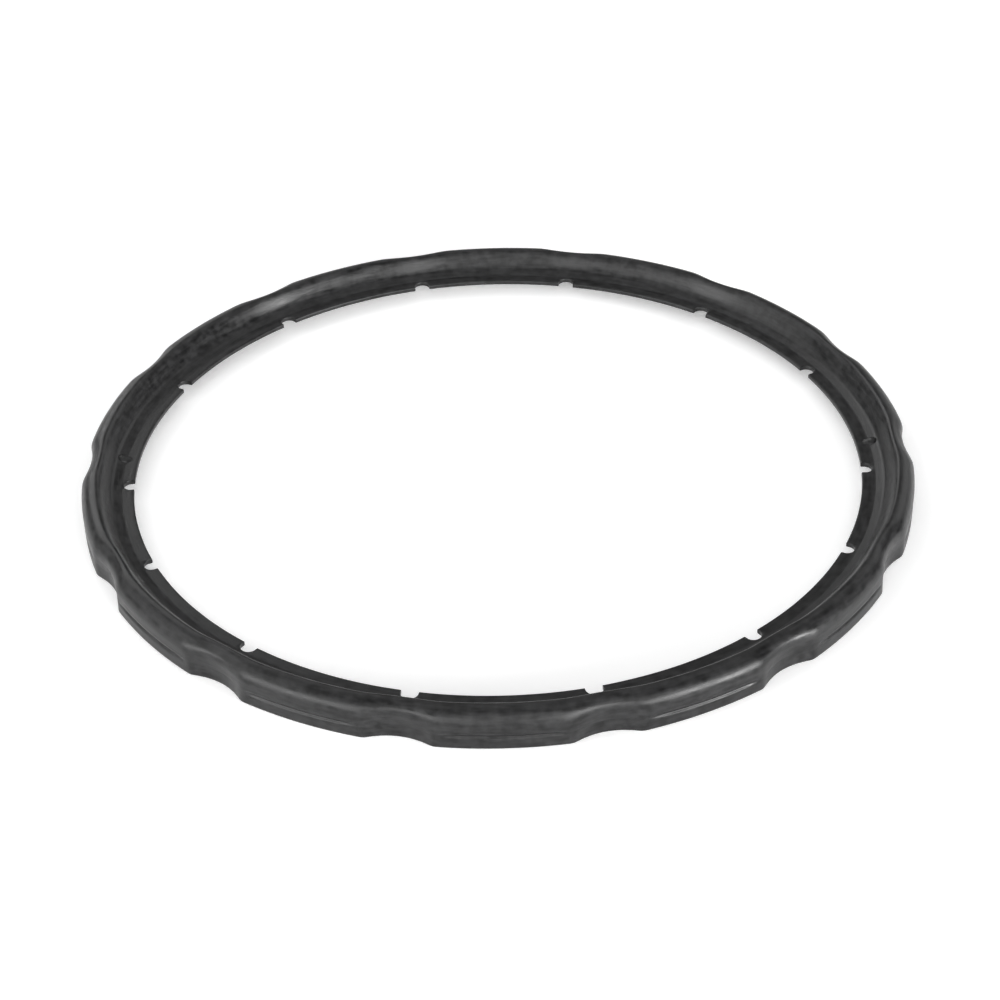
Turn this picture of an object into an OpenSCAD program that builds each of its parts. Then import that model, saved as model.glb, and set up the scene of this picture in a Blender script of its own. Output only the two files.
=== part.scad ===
// Lid sealing ring of a stovetop pressure cooker: one moulded rubber ring.
// The axis is +Z, z = 0 is the foot that rests on a table, and the origin is at the ring's centre.
// The outer wall has lobes between shallow recesses, the inner lip has a notch facing each recess.

/* [Ring] */
// Outside diameter over the lobes
outside_dia = 253; // [200:1:300]
// Inside diameter at the edge of the lip
lip_dia = 222; // [120:1:222]
// Height from the foot to the crest
ring_h = 12; // [11.5:0.5:16]

/* [Outer wall] */
// Number of recesses around the ring
recess_count = 14; // [4:2:16]
// Width of one recess across its mouth
recess_w = 20; // [10:1:24]
// Depth of one recess into the lobes, at the foot
recess_depth = 2.7; // [1:0.1:3]
// Angle by which a recess leans outwards, so that it fades towards the crest
recess_lean = 5; // [0:0.5:8]
// Thickness of the wall at a lobe
wall_t = 4; // [3.8:0.1:5]
// Radius of the outer shoulder, which starts at the crest
shoulder_r = 4.5; // [3.5:0.1:5]
// Radius of the edge of the foot
foot_r = 0.6; // [0.2:0.1:1]

/* [Crown] */
// Width of the rounded inner flank of the crown
flank_w = 2.5; // [1.5:0.1:3]
// Height of the crease at the foot of the flank
crease_z = 7.3; // [6.5:0.1:8]

/* [Lip] */
// Thickness of the lip
lip_t = 1.5; // [1:0.1:1.8]
// Height of the gap under the lip
lip_gap = 4.2; // [3:0.1:4.4]
// Width of the flat band that carries the notches
band_w = 4; // [3.6:0.1:5]
// Width of one notch
notch_w = 5; // [3:0.1:7]
// Depth of one notch
notch_depth = 3.2; // [2:0.1:3.4]

/* [Fitting marks] */
// Angle by which the two side notches are set off towards the front
notch_shift = 4; // [0:0.5:6]
// Angle by which the two pips are set off towards the rear
pip_shift = 3; // [0:0.5:6]
// Diameter of a pip
pip_dia = 3.6; // [2:0.1:4]
// Height of a pip over the lip
pip_h = 0.8; // [0.4:0.1:1.2]

/* [Hidden] */
arc_steps = 8;
revolve_fn = 240;
scoop_fn = 96;
small_fn = 32;
outside_r = outside_dia / 2;
lip_r = lip_dia / 2;
channel_r = outside_r - wall_t;
crown_r = outside_r - shoulder_r;
shoulder_z = ring_h - shoulder_r;
lip_top = lip_gap + lip_t;
tip_r = 0.35;
// The underside rises from the flat lip to the roof of the channel.
roof_fillet = 1.5;
roof_z = lip_gap + 2.2;
roof_r = channel_r - roof_fillet;
lip_rise_r = lip_r + band_w + 1.5;
// A recess is part of a leaning cylinder with its axis outside the ring.
recess_r = (recess_w / 2) ^ 2 / (2 * recess_depth) + recess_depth / 2;
recess_axis = outside_r - recess_depth + recess_r;
step_angle = 360 / recess_count;
notch_r = notch_w / 2;
notch_axis = lip_r + notch_depth - notch_r;
pip_axis = lip_r + band_w + 0.5;
// A pip is a cap of a sphere, sunk in the lip by pip_sink.
pip_sink = 0.6;
pip_cap_h = pip_h + pip_sink;
pip_ball_r = ((pip_dia / 2) ^ 2 + pip_cap_h ^ 2) / (2 * pip_cap_h);
// Room by which a cutter runs past the solid that it cuts
past = 2;

// Points of an arc. With rise, it is the arc of an ellipse that is r wide and rise high.
function arc(x, z, r, from, to, rise = undef) =
    [for (i = [0 : arc_steps])
        let (a = from + (to - from) * i / arc_steps)
        [x + r * cos(a), z + (is_undef(rise) ? r : rise) * sin(a)]];

// Half section of the ring at a lobe, as [radius, height]
section = concat(
    [[channel_r, 0]],
    arc(outside_r - foot_r, foot_r, foot_r, -90, 0),
    arc(crown_r, shoulder_z, shoulder_r, 0, 90),
    arc(crown_r, crease_z, flank_w, 90, 180, rise = ring_h - crease_z),
    [[lip_r + band_w, lip_top + 0.1]],
    arc(lip_r + tip_r, lip_top - tip_r, tip_r, 90, 180),
    arc(lip_r + tip_r, lip_gap + tip_r, tip_r, 180, 270),
    [[lip_rise_r, lip_gap]],
    arc(roof_r, roof_z - roof_fillet, roof_fillet, 90, 0));

// One scooped recess in the outer wall, at angle 0
module recess() {
    translate([recess_axis, 0, 0])
        rotate([0, recess_lean, 0])
            translate([0, 0, -2 * past])
                cylinder(r = recess_r, h = ring_h + 4 * past, $fn = scoop_fn);
}

// One U-shaped notch in the edge of the lip, at angle 0
module notch() {
    translate([notch_axis, 0, 0]) {
        cylinder(r = notch_r, h = ring_h, $fn = small_fn);
        translate([-notch_depth - past, -notch_r, 0])
            cube([notch_depth + past, notch_w, ring_h]);
    }
}

// One raised pip on the lip, at angle 0
module pip() {
    top = lip_top + pip_h;
    intersection() {
        translate([pip_axis, 0, top - pip_ball_r])
            sphere(r = pip_ball_r, $fn = small_fn * 2);
        translate([pip_axis, 0, lip_top - pip_sink])
            cylinder(r = pip_dia, h = pip_cap_h, $fn = small_fn);
    }
}

// The notches at the two sides, on +X and -X, are set off towards the front.
function notch_angle(i) =
    let (a = i * step_angle)
    i == 0 ? -notch_shift : i == recess_count / 2 ? 180 + notch_shift : a;

module sealing_ring() {
    color([0.1, 0.1, 0.11])
        difference() {
            union() {
                rotate_extrude($fn = revolve_fn)
                    polygon(section);
                rotate([0, 0, pip_shift])
                    pip();
                rotate([0, 0, 180 - pip_shift])
                    pip();
            }
            for (i = [0 : recess_count - 1]) {
                rotate([0, 0, i * step_angle])
                    recess();
                rotate([0, 0, notch_angle(i)])
                    notch();
            }
        }
}

sealing_ring();
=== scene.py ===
"""Looks of the lid sealing ring of a stovetop pressure cooker: one moulded rubber ring on a pale table.

Lengths are written in millimetres and multiplied by MM, angles in degrees. The ring's axis is Z.
"""
import math

import bmesh
import bpy
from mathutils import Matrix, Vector


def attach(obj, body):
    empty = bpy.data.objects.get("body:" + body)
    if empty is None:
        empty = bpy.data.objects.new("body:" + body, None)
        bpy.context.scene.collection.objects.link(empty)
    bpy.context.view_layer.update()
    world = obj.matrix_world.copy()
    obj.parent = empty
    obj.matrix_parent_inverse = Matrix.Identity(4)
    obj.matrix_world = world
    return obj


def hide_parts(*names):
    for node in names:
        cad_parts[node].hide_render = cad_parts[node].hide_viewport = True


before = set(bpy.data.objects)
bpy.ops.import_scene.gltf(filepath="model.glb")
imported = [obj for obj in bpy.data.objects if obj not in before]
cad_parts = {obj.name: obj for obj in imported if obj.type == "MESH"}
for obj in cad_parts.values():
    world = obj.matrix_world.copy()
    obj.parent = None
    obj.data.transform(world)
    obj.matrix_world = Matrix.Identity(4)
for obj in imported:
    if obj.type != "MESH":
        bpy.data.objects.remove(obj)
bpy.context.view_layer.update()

MM = 0.001


# ---------------------------------------------------------------- camera and light ----
# A long lens looks down on the ring from the front. Soft boxes stand round it, bright and low at
# the front right and left and faint at the rear, one hangs overhead, and the room is grey.

scene = bpy.context.scene
scene.view_settings.view_transform = "Standard"
scene.view_settings.look = "None"


def direction(azimuth, elevation):
    """The unit vector that points at an azimuth, counted from +X towards +Y, and at an elevation."""
    round_z, high = math.radians(azimuth), math.radians(elevation)
    level = math.cos(high)
    return Vector((math.cos(round_z) * level, math.sin(round_z) * level, math.sin(high)))


def place_camera(azimuth, elevation, distance, lens, roll, aim):
    """Makes the scene's camera, at a distance from the ring's centre, looking at the point aim."""
    camera = bpy.data.objects.new("camera", bpy.data.cameras.new("camera"))
    camera.data.lens = lens
    camera.location = direction(azimuth, elevation) * distance
    camera.rotation_euler = (aim - camera.location).to_track_quat("-Z", "Y").to_euler()
    camera.rotation_euler.rotate_axis("Z", math.radians(roll))
    scene.collection.objects.link(camera)
    scene.camera = camera


place_camera(azimuth=-89.8, elevation=34.7, distance=715 * MM, lens=83.4, roll=-1.45,
             aim=Vector((0.5, -3.0, -6.6)) * MM)


def soft_light(name, azimuth, elevation, spread, strength):
    """Makes a far, round soft box that is seen under an angle of spread degrees from the ring."""
    lamp = bpy.data.lights.new(name, "SUN")
    lamp.angle = math.radians(spread)
    lamp.energy = strength
    box = bpy.data.objects.new(name, lamp)
    away = direction(azimuth, elevation)
    box.location = away
    box.rotation_euler = away.to_track_quat("Z", "Y").to_euler()
    scene.collection.objects.link(box)


soft_light("box_left_low", azimuth=210, elevation=8, spread=36, strength=1.8)
soft_light("box_left_high", azimuth=178, elevation=35, spread=50, strength=0.8)
soft_light("box_front_left", azimuth=240, elevation=8, spread=40, strength=1.5)
soft_light("box_front", azimuth=272, elevation=38, spread=50, strength=0.7)
soft_light("box_front_right", azimuth=300, elevation=8, spread=34, strength=2.3)
soft_light("box_right_low", azimuth=328, elevation=9, spread=22, strength=3.2)
soft_light("box_rear_right", azimuth=52, elevation=26, spread=30, strength=0.25)
soft_light("box_rear_left", azimuth=116, elevation=28, spread=30, strength=0.5)
soft_light("box_top", azimuth=90, elevation=72, spread=60, strength=0.4)

world = bpy.data.worlds.new("grey_room")
world.use_nodes = True
world.node_tree.nodes["Background"].inputs["Color"].default_value = (1, 1, 1, 1)
world.node_tree.nodes["Background"].inputs["Strength"].default_value = 0.2
scene.world = world


# ---------------------------------------------------------------------------- table ----
# A plain pale table top, much larger than the ring, which the ring's foot rests on. It glows a
# little, so that shadows on it stay faint.

TABLE_SIDE = 12000.0


def plain_material(name, color, roughness, glow):
    """Makes a material of one colour, which glows a little as the top of a light table does."""
    material = bpy.data.materials.new(name)
    material.use_nodes = True
    shader = material.node_tree.nodes["Principled BSDF"]
    shader.inputs["Base Color"].default_value = (*color, 1)
    shader.inputs["Roughness"].default_value = roughness
    shader.inputs["Emission Color"].default_value = (*color, 1)
    shader.inputs["Emission Strength"].default_value = glow
    return material


table_form = bmesh.new()
bmesh.ops.create_grid(table_form, x_segments=1, y_segments=1, size=TABLE_SIDE / 2 * MM)
table_mesh = bpy.data.meshes.new("table")
table_form.to_mesh(table_mesh)
table_form.free()
table_mesh.materials.append(plain_material("pale_table", (0.95, 0.95, 0.95), 0.9, glow=0.25))
table = bpy.data.objects.new("table", table_mesh)
scene.collection.objects.link(table)


# --------------------------------------------------------------------- sealing ring ----
# The ring is one piece of black rubber, pressed in a two-part mould. Its outer wall has lobes
# between shallow recesses, its crown is round, and its thin inner lip has a notch at each
# recess. One section goes round the axis, and rules push the recesses, notches and pips into it.

RECESSES = 14
OUTSIDE_R = 126.5
LIP_R = 111.0
RING_H = 12.0
WALL_T = 4.0
CHANNEL_R = OUTSIDE_R - WALL_T
FOOT_R = 0.6
SHOULDER_R = 4.5
CROWN_R = OUTSIDE_R - SHOULDER_R
WALL_TOP = 10.0
# The crown's inner flank: its width, the height of its foot on the lip, its handles' length and its steps
FLANK_W = 4.9
FLANK_FOOT_Z = 6.5
FLANK_HANDLE = 1.8
FLANK_STEPS = 16
# The lip slopes down to a nearly flat band at its edge.
LIP_SLOPE = 1 / 3
LIP_GAP = 4.2
LIP_T = 1.5
LIP_TOP = LIP_GAP + LIP_T
TIP_R = 0.35
BAND_W = 4.0
BAND_RISE = 0.1
# The roof of the channel under the crown
ROOF_FILLET = 1.5
ROOF_RISE = 2.2
ROOF_Z = LIP_GAP + ROOF_RISE
RECESS_DEPTH = 2.7
RECESS_W = 20.0
RECESS_R = (RECESS_W / 2) ** 2 / (2 * RECESS_DEPTH) + RECESS_DEPTH / 2
# Shares of a recess's depth that are left at the shoulder and then at the crest
DEPTH_AT_SHOULDER = 0.58
DEPTH_AT_CREST = 0.4
# Height on the inner flank where a recess has run out, and its softness at the foot and the crest
RECESS_END_Z = 7.3
EDGE_BLEND = 1.0
SHOULDER_BLEND = 3.4
NOTCH_W = 5.0
NOTCH_DEPTH = 3.2
NOTCH_SHIFT = 4.0
PIP_SHIFT = 3.0
PIP_DIA = 3.6
PIP_H = 0.8
PIP_R = LIP_R + BAND_W + 0.5
# Distance under the lip's top where a pip starts
PIP_START = 0.2
# Fine groove along the wall of each lobe, and the distances past a recess where it starts and is full
GROOVE_Z = 4.3
GROOVE_W = 1.4
GROOVE_DEPTH = 0.4
GROOVE_START = 1.0
GROOVE_FULL = 5.0
# Waves of the uneven rubber: their number in one radian, their height on the section, and their depth
WAVES = 5.0
WAVE_H = 9.0
WAVE_DEPTH = 0.15
# Points closer than WELD are one point, and edges sharper than EDGE_ANGLE stay sharp.
WELD = 0.0005
EDGE_ANGLE = 38.0


def arc(x, z, r, start, end, steps):
    """Points of an arc in the section's plane, with its angles in degrees."""
    turn = [math.radians(start + (end - start) * i / steps) for i in range(steps + 1)]
    return [(x + r * math.cos(a), z + r * math.sin(a)) for a in turn]


def line(a, b, steps):
    """Points between a and b, without b."""
    shares = [i / steps for i in range(steps)]
    return [(a[0] + (b[0] - a[0]) * t, a[1] + (b[1] - a[1]) * t) for t in shares]


def soft_curve(a, leave, arrive, b, steps):
    """Points of a Bezier curve from a to b, with its two handles at leave and arrive."""
    points = []
    for i in range(steps + 1):
        t = i / steps
        shares = ((1 - t) ** 3, 3 * (1 - t) ** 2 * t, 3 * (1 - t) * t ** 2, t ** 3)
        places = list(zip(shares, (a, leave, arrive, b)))
        points.append((sum(w * p[0] for w, p in places), sum(w * p[1] for w, p in places)))
    return points


wall_foot, wall_top = (OUTSIDE_R, FOOT_R), (OUTSIDE_R, RING_H - SHOULDER_R)
groove_low, groove_high = (OUTSIDE_R, GROOVE_Z - GROOVE_W / 2), (OUTSIDE_R, GROOVE_Z + GROOVE_W / 2)
slope_foot = (LIP_R + BAND_W, LIP_TOP + BAND_RISE)
lip_rise = (LIP_R + BAND_W + 1.5, LIP_GAP)
# The crown's inner flank runs softly into the slope of the lip.
crest, flank_foot = (CROWN_R, RING_H), (CROWN_R - FLANK_W, FLANK_FOOT_Z)
flank_leave = (CROWN_R - FLANK_HANDLE, RING_H)
flank_arrive = (flank_foot[0] + FLANK_HANDLE, flank_foot[1] + FLANK_HANDLE * LIP_SLOPE)
foot_rows = [
    *line((CHANNEL_R, 0), (OUTSIDE_R - FOOT_R, 0), 3),
    *arc(OUTSIDE_R - FOOT_R, FOOT_R, FOOT_R, -90, 0, 6),
]
wall_rows = [
    *line(wall_foot, groove_low, 4)[1:],
    *line(groove_low, groove_high, 8),
    *line(groove_high, wall_top, 5),
    *arc(CROWN_R, RING_H - SHOULDER_R, SHOULDER_R, 0, 90, 18),
]
FOOT_ROWS = len(foot_rows)
CREST_ROW = FOOT_ROWS + len(wall_rows) - 1
FLANK_ROW = CREST_ROW + FLANK_STEPS
# Half section of the ring at a lobe, as radius and height, from the channel's foot outwards and round
section = [
    *foot_rows,
    *wall_rows,
    *soft_curve(crest, flank_leave, flank_arrive, flank_foot, FLANK_STEPS)[1:],
    *line(flank_foot, slope_foot, 8)[1:],
    *line(slope_foot, (LIP_R + TIP_R, LIP_TOP), 6),
    *arc(LIP_R + TIP_R, LIP_TOP - TIP_R, TIP_R, 90, 180, 4),
    *arc(LIP_R + TIP_R, LIP_GAP + TIP_R, TIP_R, 180, 270, 4),
    *line((LIP_R + TIP_R, LIP_GAP), lip_rise, 3)[1:],
    *line(lip_rise, (CHANNEL_R - ROOF_FILLET, ROOF_Z), 3),
    *arc(CHANNEL_R - ROOF_FILLET, ROOF_Z - ROOF_FILLET, ROOF_FILLET, 90, 0, 6),
    *line((CHANNEL_R, ROOF_Z - ROOF_FILLET), (CHANNEL_R, 0), 3)[1:],
    (CHANNEL_R, 0),
]

PITCH = 360 / RECESSES
notch_angles = [i * PITCH for i in range(RECESSES)]
notch_angles[0] -= NOTCH_SHIFT
notch_angles[RECESSES // 2] += NOTCH_SHIFT


# Steps between columns, in degrees: round the ring, past a notch's wall and at a recess's corner
PLAIN_STEP = 1.0
WALL_STEPS = (0, 0.08, 0.16, 0.3)
CORNER_STEP = 0.25
LEAST_STEP = 0.006
# Width of the step in the lip's edge at the wall of a notch
NOTCH_WALL = 0.02


def crowded(centre, half_width, steps, radius):
    """Angles across a feature, crowded towards its two edges as the points of a half circle are."""
    turn = [math.pi * i / steps for i in range(steps + 1)]
    return [centre + math.degrees(half_width * math.cos(a) / radius) for a in turn]


def columns_round_ring():
    """The angles at which the section is repeated: evenly all round, and closer at every edge."""
    angles = [i * PLAIN_STEP for i in range(int(360 / PLAIN_STEP) + 1)]
    for centre in notch_angles:
        angles += crowded(centre, NOTCH_W / 2, 20, LIP_R)
        for side in (-1, 1):
            wall = centre + side * math.degrees((NOTCH_W / 2 + NOTCH_WALL) / LIP_R)
            angles += [wall + side * step for step in WALL_STEPS]
    for i in range(RECESSES):
        for side in (-1, 1):
            corner = i * PITCH + side * math.degrees(RECESS_W / 2 / OUTSIDE_R)
            angles += [corner + step * CORNER_STEP for step in range(-3, 4)]
    for centre in (PIP_SHIFT, 180 - PIP_SHIFT):
        angles += crowded(centre, PIP_DIA / 2, 16, PIP_R)
    angles = sorted(set(round(a % 360, 4) for a in angles))
    kept = [angles[0]]
    for a in angles[1:]:
        if a - kept[-1] > LEAST_STEP:
            kept.append(a)
    return kept + [360 + kept[0]]


angles = columns_round_ring()


def point_list(name, points):
    """Makes an object whose vertices hold a list of points, for the node tree to read by index."""
    mesh = bpy.data.meshes.new(name)
    mesh.from_pydata(points, [], [])
    holder = bpy.data.objects.new(name, mesh)
    scene.collection.objects.link(holder)
    return holder


section_points = point_list("section_points", [(r * MM, 0, z * MM) for r, z in section])
angle_points = point_list("angle_points", [(math.radians(a), 0, 0) for a in angles])


class Number:
    """A number that a node tree works out. It takes part in sums as a plain number does."""

    def __init__(self, tree, socket):
        self.tree, self.socket = tree, socket

    def calc(self, operation, *others):
        """What a Math node makes of this number and the others."""
        terms = dict(enumerate((self, *others)))
        node = add_node(self.tree, "ShaderNodeMath", terms, operation=operation)
        return Number(self.tree, node.outputs[0])

    def __add__(self, other):
        return self.calc("ADD", other)

    def __sub__(self, other):
        return self.calc("SUBTRACT", other)

    def __rsub__(self, other):
        return self * -1 + other

    def __mul__(self, other):
        return self.calc("MULTIPLY", other)

    def __truediv__(self, other):
        return self.calc("DIVIDE", other)

    def root(self):
        """Square root, of nothing less than nought."""
        return self.calc("MAXIMUM", 0).calc("SQRT")


def add_node(tree, kind, links=(), **settings):
    """Adds a node to a tree, sets its properties, and joins its inputs or gives them a value."""
    node = tree.nodes.new(kind)
    for key, value in settings.items():
        setattr(node, key, value)
    for slot, value in dict(links).items():
        if isinstance(value, Number):
            value = value.socket
        if isinstance(value, bpy.types.NodeSocket):
            tree.links.new(value, node.inputs[slot])
        else:
            node.inputs[slot].default_value = value
    return node


def ramp(value, low, high, at_low, at_high):
    """A number that goes from at_low to at_high while value goes from low to high, and stays there."""
    limits = {"Value": value, "From Min": low, "From Max": high, "To Min": at_low, "To Max": at_high}
    node = add_node(value.tree, "ShaderNodeMapRange", limits, clamp=True)
    return Number(value.tree, node.outputs["Result"])


def combine(tree, x, y, z):
    """The vector of three numbers."""
    return add_node(tree, "ShaderNodeCombineXYZ", {"X": x, "Y": y, "Z": z}).outputs[0]


def separate(tree, vector):
    """The three numbers of a vector."""
    node = add_node(tree, "ShaderNodeSeparateXYZ", {"Vector": vector})
    return [Number(tree, out) for out in node.outputs]


def noise(tree, place, scale, detail, seed):
    """Soft noise from 0 to 1, read in four dimensions."""
    links = {"Vector": place, "W": seed, "Scale": scale, "Detail": detail}
    node = add_node(tree, "ShaderNodeTexNoise", links, noise_dimensions="4D")
    return Number(tree, node.outputs[0])


# Rubber's colour and roughness, from its cleanest patches to its dullest
RUBBER_DARK = (0.0015, 0.0015, 0.0016)
RUBBER_DUSTY = (0.0165, 0.0165, 0.017)
ROUGHNESS = (0.30, 0.45)
# Noise below which a patch is quite clean, and above which it is quite dull
PATCHES = (0.38, 0.62)
# Streaks in one radian round the ring, and the sizes of a streak, a mottle, the grain and the relief
STREAKS = 16.0
STREAK_W = 1.5
MOTTLE = 2.5
GRAIN = 0.4
RELIEF = 0.1


def rubber_material():
    """Black rubber with a satin skin: moulded grain, streaks that run round the ring, and a mottle."""
    material = bpy.data.materials.new("black_rubber")
    material.use_nodes = True
    tree = material.node_tree
    shader = tree.nodes["Principled BSDF"]
    shader.inputs["Specular IOR Level"].default_value = 0.38

    # Streaks are long round the ring and fine across it, with no seam where the angle starts again.
    place = add_node(tree, "ShaderNodeTexCoord").outputs["Object"]
    x, y, z = separate(tree, place)
    reach = (x * x + y * y).root()
    streak_w = STREAK_W * MM
    streak_place = combine(tree, x / reach * STREAKS, y / reach * STREAKS, (reach + z) / streak_w)
    streaks = noise(tree, streak_place, 1.0, 3.0, seed=(reach - z) / streak_w)
    mottle = noise(tree, place, 1 / (MOTTLE * MM), 3.0, seed=3.0)
    grain = noise(tree, place, 1 / (GRAIN * MM), 2.0, seed=5.0)

    skin = streaks * 0.5 + mottle * 0.5
    tone = add_node(tree, "ShaderNodeMix", {
        "Factor": ramp(skin, *PATCHES, 0.0, 1.0),
        "A": (*RUBBER_DARK, 1),
        "B": (*RUBBER_DUSTY, 1)}, data_type="RGBA")
    relief = streaks + grain * 0.3
    bump = add_node(tree, "ShaderNodeBump", {"Height": relief, "Strength": 0.6, "Distance": RELIEF * MM})
    tree.links.new(tone.outputs["Result"], shader.inputs["Base Color"])
    tree.links.new(ramp(skin, *PATCHES, *ROUGHNESS).socket, shader.inputs["Roughness"])
    tree.links.new(bump.outputs["Normal"], shader.inputs["Normal"])
    return material


ring_tree = bpy.data.node_groups.new("moulded_ring", "GeometryNodeTree")
INPUTS = {
    "Section": ("NodeSocketObject", section_points),
    "Angles": ("NodeSocketObject", angle_points),
    "Rows": ("NodeSocketInt", len(section)),
    "Columns": ("NodeSocketInt", len(angles)),
    "Recesses": ("NodeSocketInt", RECESSES),
    "Recess radius": ("NodeSocketFloat", RECESS_R * MM),
    "Recess depth": ("NodeSocketFloat", RECESS_DEPTH * MM),
    "Notch radius": ("NodeSocketFloat", NOTCH_W / 2 * MM),
    "Notch depth": ("NodeSocketFloat", NOTCH_DEPTH * MM),
    "Notch shift": ("NodeSocketFloat", math.radians(NOTCH_SHIFT)),
    "Pip shift": ("NodeSocketFloat", math.radians(PIP_SHIFT)),
    "Pip radius": ("NodeSocketFloat", PIP_DIA / 2 * MM),
    "Pip height": ("NodeSocketFloat", PIP_H * MM),
    "Unevenness": ("NodeSocketFloat", WAVE_DEPTH * MM),
    "Seed": ("NodeSocketFloat", 7.0),
    "Rubber": ("NodeSocketMaterial", rubber_material()),
}
for name, (kind, _) in INPUTS.items():
    ring_tree.interface.new_socket(name, in_out="INPUT", socket_type=kind)
ring_tree.interface.new_socket("Geometry", in_out="OUTPUT", socket_type="NodeSocketGeometry")

given = ring_tree.nodes.new("NodeGroupInput")


def read(name):
    """One of the tree's named inputs, as a number."""
    return Number(ring_tree, given.outputs[name])


def add(kind, links=(), **settings):
    """Adds a node to the ring's tree."""
    return add_node(ring_tree, kind, links, **settings)


def point_of(holder, index):
    """The place of one point of a point list, as three numbers."""
    info = add("GeometryNodeObjectInfo", {"Object": given.outputs[holder]})
    place = add("GeometryNodeInputPosition")
    sample = add("GeometryNodeSampleIndex", {"Geometry": info.outputs["Geometry"], "Index": index},
                 data_type="FLOAT_VECTOR", clamp=True)
    ring_tree.links.new(place.outputs[0], sample.inputs["Value"])
    return separate(ring_tree, sample.outputs["Value"])


rows, columns = read("Rows"), read("Columns")
sheet = add("GeometryNodeMeshGrid", {"Vertices X": columns, "Vertices Y": rows})
index = Number(ring_tree, add("GeometryNodeInputIndex").outputs[0])
column = (index / rows).calc("FLOOR")
row = index - column * rows
radius, _, height = point_of("Section", row)
angle, _, _ = point_of("Angles", column)

# Where the column lies against the nearest recess
pitch = Number(ring_tree, add("ShaderNodeValue").outputs[0])
pitch.socket.default_value = 2 * math.pi
pitch = pitch / read("Recesses")
nearest = (angle / pitch).calc("ROUND")
off_recess = angle - nearest * pitch

# A recess pushes the wall in as a cylinder with its axis outside the ring would. It grows
# shallower and softer up the wall, and runs out over the crest.
recess_r, lobe_r = read("Recess radius"), OUTSIDE_R * MM
axis_r = recess_r + lobe_r - read("Recess depth")
across = axis_r * off_recess.calc("SINE")
scooped = axis_r * off_recess.calc("COSINE") - (recess_r * recess_r - across * across).root()
softness = ramp(height, 0.0, RING_H * MM, EDGE_BLEND * MM, SHOULDER_BLEND * MM)
depth = lobe_r - scooped.calc("SMOOTH_MIN", lobe_r, softness)
outside = row.calc("LESS_THAN", CREST_ROW + 0.5)
past_foot = row.calc("GREATER_THAN", FOOT_ROWS - 0.5)
on_flank = (1 - outside) * row.calc("LESS_THAN", FLANK_ROW + 0.5)
up_wall = ramp(height, GROOVE_Z * MM, WALL_TOP * MM, 1.0, DEPTH_AT_SHOULDER)
over_flank = ramp(height, RECESS_END_Z * MM, RING_H * MM, 0.0, DEPTH_AT_CREST * DEPTH_AT_SHOULDER)
# The foot's edge at the channel keeps its place, and the crest moves less than the wall.
off_channel = ramp(radius, CHANNEL_R * MM, (OUTSIDE_R - FOOT_R) * MM, 0.0, 1.0).calc("MAXIMUM", past_foot)
to_crest = ramp(radius, CROWN_R * MM, (CROWN_R + SHOULDER_R / 2) * MM, DEPTH_AT_CREST, 1.0)
to_crest = to_crest.calc("MAXIMUM", 1 - past_foot)
radius = radius - depth * (outside * up_wall * off_channel * to_crest + on_flank * over_flank)

# The groove is scored in the lobes alone.
across_groove = (height - GROOVE_Z * MM).calc("ABSOLUTE")
scored = ramp(across_groove, GROOVE_W / 8 * MM, GROOVE_W / 2 * MM, GROOVE_DEPTH * MM, 0.0)
past_recess = (off_recess * lobe_r).calc("ABSOLUTE") - RECESS_W / 2 * MM
on_lobe = ramp(past_recess, GROOVE_START * MM, GROOVE_FULL * MM, 0.0, 1.0)
radius = radius - scored * on_lobe * (outside * past_foot)

# The edge of the lip steps back at a notch, which is round at its root.
half = read("Recesses") / 2
at_first = nearest.calc("MODULO", read("Recesses")).calc("COMPARE", 0, 0.5)
at_half = nearest.calc("COMPARE", half, 0.5)
off_notch = off_recess + read("Notch shift") * (at_first - at_half)
along = (off_notch * LIP_R * MM).calc("ABSOLUTE")
notch_r = read("Notch radius")
bowl = (notch_r * notch_r - along * along).root() + read("Notch depth") - notch_r
inside_notch = along.calc("LESS_THAN", notch_r + NOTCH_WALL / 2 * MM)
inward = ramp(radius, (LIP_R + TIP_R) * MM, (LIP_R + BAND_W) * MM, 1.0, 0.0)
radius = radius + bowl * inside_notch * inward

# Two pips, one at each side, stand up from the top of the lip.
on_top = ramp(height, (LIP_TOP - PIP_START) * MM, LIP_TOP * MM, 0.0, 1.0)
off_pip = off_recess - (at_first - at_half) * read("Pip shift")
at_side = at_first + at_half
pip_x = off_pip * PIP_R * MM
pip_y = radius - PIP_R * MM
far = (pip_x * pip_x + pip_y * pip_y).root() / read("Pip radius")
dome = (1 - far * far).root()
height = height + dome * read("Pip height") * at_side * on_top

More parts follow.
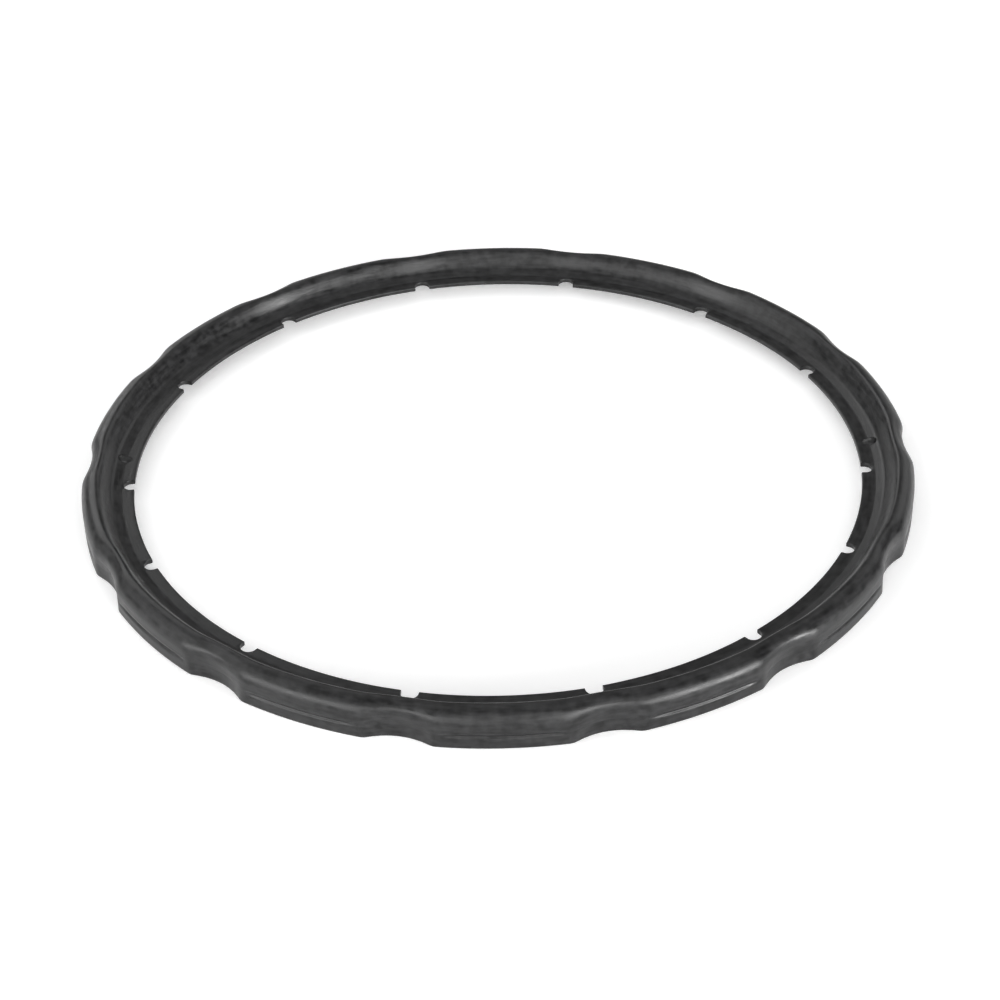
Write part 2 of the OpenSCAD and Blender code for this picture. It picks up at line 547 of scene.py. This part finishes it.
# Soft rubber is never quite true: low waves run round the ring.
cos_angle, sin_angle = angle.calc("COSINE"), angle.calc("SINE")
round_ring = combine(ring_tree, cos_angle * WAVES, sin_angle * WAVES, height / (WAVE_H * MM))
waves = noise(ring_tree, round_ring, 1.0, 2.0, seed=read("Seed"))
radius = radius - waves * read("Unevenness")

place = combine(ring_tree, radius * cos_angle, radius * sin_angle, height)
shaped = add("GeometryNodeSetPosition", {"Geometry": sheet.outputs["Mesh"], "Position": place})
closed = add("GeometryNodeMergeByDistance", {"Geometry": shaped.outputs[0], "Distance": WELD * MM})
smooth = add("GeometryNodeSetShadeSmooth", {"Geometry": closed.outputs[0]})
plain = add("GeometryNodeRealizeInstances", {"Geometry": smooth.outputs[0]})
painted = add("GeometryNodeSetMaterial", {"Geometry": plain.outputs[0],
                                          "Material": given.outputs["Rubber"]})
result = ring_tree.nodes.new("NodeGroupOutput")
ring_tree.links.new(painted.outputs[0], result.inputs[0])


def bake_tree(name, tree, values):
    """Runs a node tree with its named inputs set, and gives its result as an object of plain mesh."""
    seed_object = bpy.data.objects.new(name, bpy.data.meshes.new(name))
    scene.collection.objects.link(seed_object)
    modifier = seed_object.modifiers.new("tree", "NODES")
    modifier.node_group = tree
    for item in tree.interface.items_tree:
        if item.in_out == "INPUT":
            modifier[item.identifier] = values[item.name]
    depsgraph = bpy.context.evaluated_depsgraph_get()
    mesh = bpy.data.meshes.new_from_object(seed_object.evaluated_get(depsgraph))
    seed_object.modifiers.clear()
    seed_object.data = mesh
    mesh.name = name
    while mesh.materials and mesh.materials[0] is None:
        mesh.materials.pop(index=0)
    mesh.polygons.foreach_set("material_index", [0] * len(mesh.polygons))
    return seed_object


values = {name: value for name, (_, value) in INPUTS.items()}
sealing_ring = bake_tree("moulded_sealing_ring", ring_tree, values)
for holder in (section_points, angle_points):
    bpy.data.objects.remove(holder)

form = bmesh.new()
form.from_mesh(sealing_ring.data)
bmesh.ops.recalc_face_normals(form, faces=form.faces)
form.to_mesh(sealing_ring.data)
form.free()
sealing_ring.data.set_sharp_from_angle(angle=math.radians(EDGE_ANGLE))

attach(sealing_ring, "root")
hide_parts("sealing_ring")
